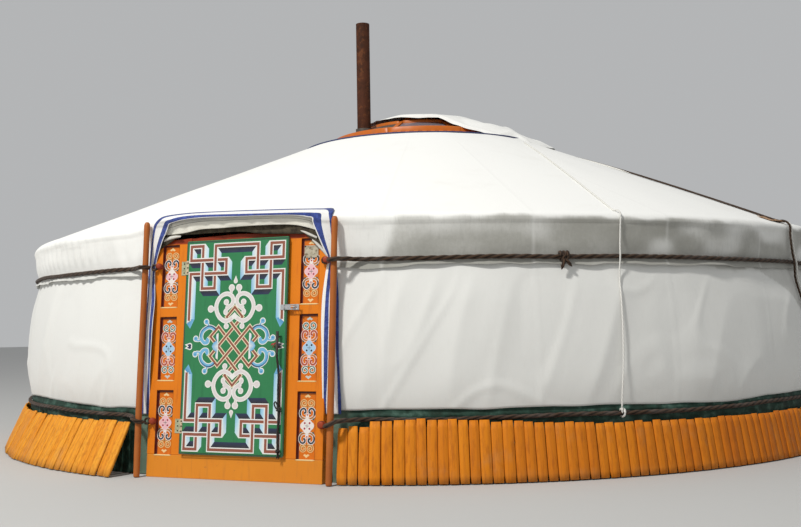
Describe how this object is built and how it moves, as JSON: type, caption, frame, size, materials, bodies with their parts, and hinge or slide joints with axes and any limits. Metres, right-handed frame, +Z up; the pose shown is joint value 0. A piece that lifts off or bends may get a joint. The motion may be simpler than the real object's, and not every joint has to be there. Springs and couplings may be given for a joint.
{
  "type": "yurt",
  "caption": "Round felt tent with a lattice wall, pole roof, glazed smoke crown, stovepipe and a hinged painted wooden door.",
  "frame": {"origin": "middle of the tent on the ground", "axes": "+Z up, -Y out through the door, +X to the right of someone who faces the door from outside"},
  "size_m": [7.3318, 7.3785, 3.7917],
  "materials": {
    "lattice": "bare reddish laths",
    "felt": "pressed wool felt",
    "canvas": "white cotton canvas, slightly creased",
    "roof_pole": "painted orange",
    "crown_wood": "painted orange, weathered",
    "pane": "clear panes",
    "pipe": "brown rusty sheet",
    "sheet_metal": "dull sheet metal",
    "tarp": "dark green tarpaulin",
    "plank": "orange stained boards",
    "door_orange": "orange gloss paint on wood",
    "panel": "painted ornament on orange",
    "plate": "bare plate",
    "door_green": "green gloss paint with painted knot ornament",
    "hinge": "worn greenish paint",
    "iron": "dark worn iron",
    "rope_dark": "dark twisted hair rope",
    "rope_white": "white cord",
    "zinc": "galvanised",
    "lining": "cream lining",
    "trim": "blue and white border",
    "door_pole": "smooth orange-brown pole",
    "peg": "red-brown painted pegs",
    "pad": "tan pad"
  },
  "bodies": {
    "ger": {"lattice_wall_1": "lattice", "lattice_wall_2": "lattice", "lattice_wall_3": "lattice", "lattice_wall_4": "lattice", "lattice_wall_5": "lattice", "lattice_wall_6": "lattice", "wall_felt_left": "felt", "wall_felt_right": "felt", "wall_canvas_left": "canvas", "wall_canvas_right": "canvas", "roof_poles_front": "roof_pole", "roof_poles_right": "roof_pole", "roof_poles_back": "roof_pole", "roof_poles_left": "roof_pole", "roof_felt_front": "felt", "roof_felt_back": "felt", "roof_canvas": "canvas", "eave_drape": "canvas", "crown_ring": "crown_wood", "crown_upper_ring": "crown_wood", "crown_spokes": "crown_wood", "crown_panes": "pane", "crown_posts": "roof_pole", "post_boards": "roof_pole", "smoke_flap": "canvas", "stovepipe": "pipe", "pipe_plate": "sheet_metal", "skirt_tarp": "tarp", "skirt_planks_left": "plank", "skirt_planks_right": "plank", "skirt_planks_back": "plank", "door_threshold": "door_orange", "door_frame_left": "door_orange", "door_frame_right": "door_orange", "door_lintel": "door_orange", "frame_panels": "panel", "number_plate": "plate", "hinge_plates_fixed": "hinge", "hasp_staple": "zinc", "door_hood": "lining", "doorway_trim": "trim", "door_pole_left": "door_pole", "door_pole_right": "door_pole", "rope_pegs": "peg", "belt_rope_upper": "rope_dark", "belt_rope_lower": "rope_dark", "roof_rope_dark": "rope_dark", "roof_rope_white": "rope_white", "eave_pad": "pad"},
    "door": {"door_leaf": "door_green", "hinge_plates_moving": "hinge", "door_handle": "iron", "pull_rope": "rope_dark", "hasp_plate": "zinc"},
    "hasp_arm": {"hasp_arm": "zinc"}
  },
  "joints": [
    {"name": "door_hinge", "type": "hinge", "parent": "ger", "child": "door", "pos_m": [-0.3845, -3.49857, 0.84807], "axis": [0, -0.0828, -0.9966], "range_deg": [0, 110]},
    {"name": "hasp_hinge", "type": "hinge", "parent": "door", "child": "hasp_arm", "pos_m": [0.3625, -3.49996, 1.085], "axis": [0, -0.0828, -0.9966], "range_deg": [0, 150]}
  ]
}
